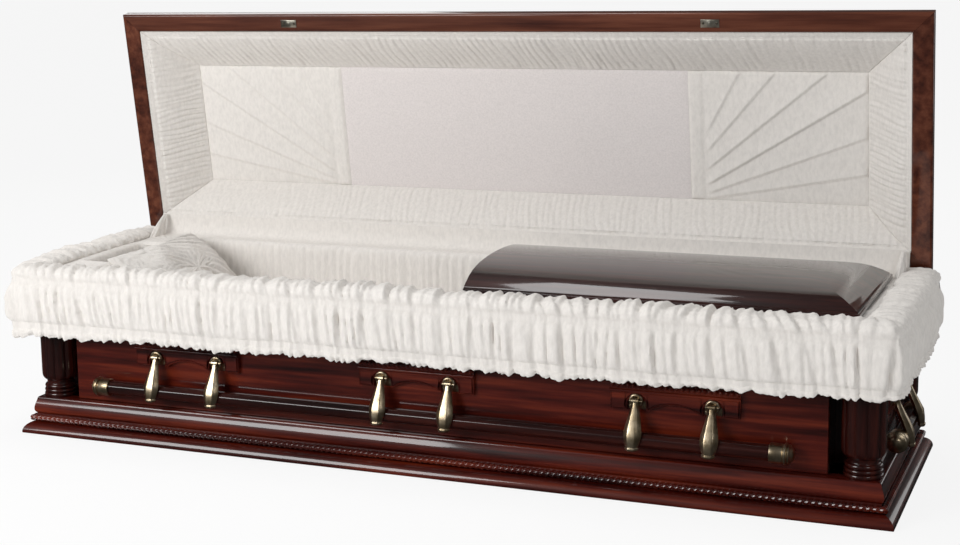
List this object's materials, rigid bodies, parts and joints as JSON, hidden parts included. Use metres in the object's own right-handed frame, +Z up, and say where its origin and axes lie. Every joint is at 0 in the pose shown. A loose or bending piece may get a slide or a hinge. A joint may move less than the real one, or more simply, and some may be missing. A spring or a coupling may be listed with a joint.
{
  "type": "funeral casket",
  "caption": "Wooden full-length casket with a hinged lid shown open, shirred white lining, overlay skirt, foot panel, fluted corner columns and swing-bar handles",
  "frame": {"origin": "middle of the underside, on the bottom board", "axes": "+X runs to the foot end, +Y to the back where the lid is hinged, +Z up"},
  "size_m": [2.166, 0.784, 1.0255],
  "materials": {
    "mahogany": "deep red mahogany stain under gloss lacquer",
    "lid_rail_wood": "brown mahogany stain under satin lacquer",
    "antique_brass": "antique brass, brushed and lacquered",
    "lining_fabric": "white crinkled cloth, shirred and stitched"
  },
  "bodies": {
    "casket_body": {"bottom_board": "mahogany", "base_moulding_front": "mahogany", "base_moulding_foot": "mahogany", "base_moulding_back": "mahogany", "base_moulding_head": "mahogany", "rope_moulding": "mahogany", "panel_front": "mahogany", "panel_back": "mahogany", "panel_head": "mahogany", "panel_foot": "mahogany", "corner_post_front_head": "mahogany", "corner_post_front_foot": "mahogany", "corner_post_back_head": "mahogany", "corner_post_back_foot": "mahogany", "corner_column_front_head": "mahogany", "corner_column_front_foot": "mahogany", "corner_column_back_head": "mahogany", "corner_column_back_foot": "mahogany", "top_rim": "mahogany", "interior_lining": "lining_fabric", "mattress": "lining_fabric", "pillow": "lining_fabric", "overlay_skirt": "lining_fabric", "foot_panel": "mahogany", "stay_gusset_head": "lining_fabric", "stay_gusset_foot": "lining_fabric", "handle_plaque_front_1": "mahogany", "handle_plaque_front_2": "mahogany", "handle_plaque_front_3": "mahogany", "handle_plaque_back_1": "mahogany", "handle_plaque_back_2": "mahogany", "handle_plaque_back_3": "mahogany", "handle_plaque_head": "mahogany", "handle_plaque_foot": "mahogany", "hinge_body_leaf_head": "antique_brass", "hinge_body_leaf_foot": "antique_brass"},
    "lid": {"lid_rail_front": "lid_rail_wood", "lid_rail_foot": "lid_rail_wood", "lid_rail_back": "lid_rail_wood", "lid_rail_head": "lid_rail_wood", "lid_cove_front": "mahogany", "lid_cove_foot": "mahogany", "lid_cove_back": "mahogany", "lid_cove_head": "mahogany", "lid_top_panel": "mahogany", "lid_lining_roll_front": "lining_fabric", "lid_lining_roll_foot": "lining_fabric", "lid_lining_roll_back": "lining_fabric", "lid_lining_roll_head": "lining_fabric", "lid_cap_center": "lining_fabric", "lid_cap_head": "lining_fabric", "lid_cap_foot": "lining_fabric", "strike_plate_head": "antique_brass", "strike_plate_foot": "antique_brass", "hinge_lid_leaf_head": "antique_brass", "hinge_lid_leaf_foot": "antique_brass"},
    "front_handle": {"handle_front": "antique_brass"},
    "back_handle": {"handle_back": "antique_brass"},
    "head_handle": {"handle_head": "antique_brass"},
    "foot_handle": {"handle_foot": "antique_brass"}
  },
  "joints": [
    {"name": "lid_hinge", "type": "hinge", "parent": "casket_body", "child": "lid", "pos_m": [0, 0.311, 0.41125], "axis": [1, 0, 0], "range_deg": [0, 81], "deforming": ["overlay_skirt", "stay_gusset_head", "stay_gusset_foot"]},
    {"name": "front_handle_swing", "type": "hinge", "parent": "casket_body", "child": "front_handle", "pos_m": [0, -0.2863, 0.216], "axis": [-1, 0, 0], "range_deg": [0, 75]},
    {"name": "back_handle_swing", "type": "hinge", "parent": "casket_body", "child": "back_handle", "pos_m": [0, 0.2863, 0.216], "axis": [1, 0, 0], "range_deg": [0, 75]},
    {"name": "head_handle_swing", "type": "hinge", "parent": "casket_body", "child": "head_handle", "pos_m": [-1.0313, 0, 0.216], "axis": [0, 1, 0], "range_deg": [0, 75]},
    {"name": "foot_handle_swing", "type": "hinge", "parent": "casket_body", "child": "foot_handle", "pos_m": [1.0313, 0, 0.216], "axis": [0, -1, 0], "range_deg": [0, 75]}
  ]
}
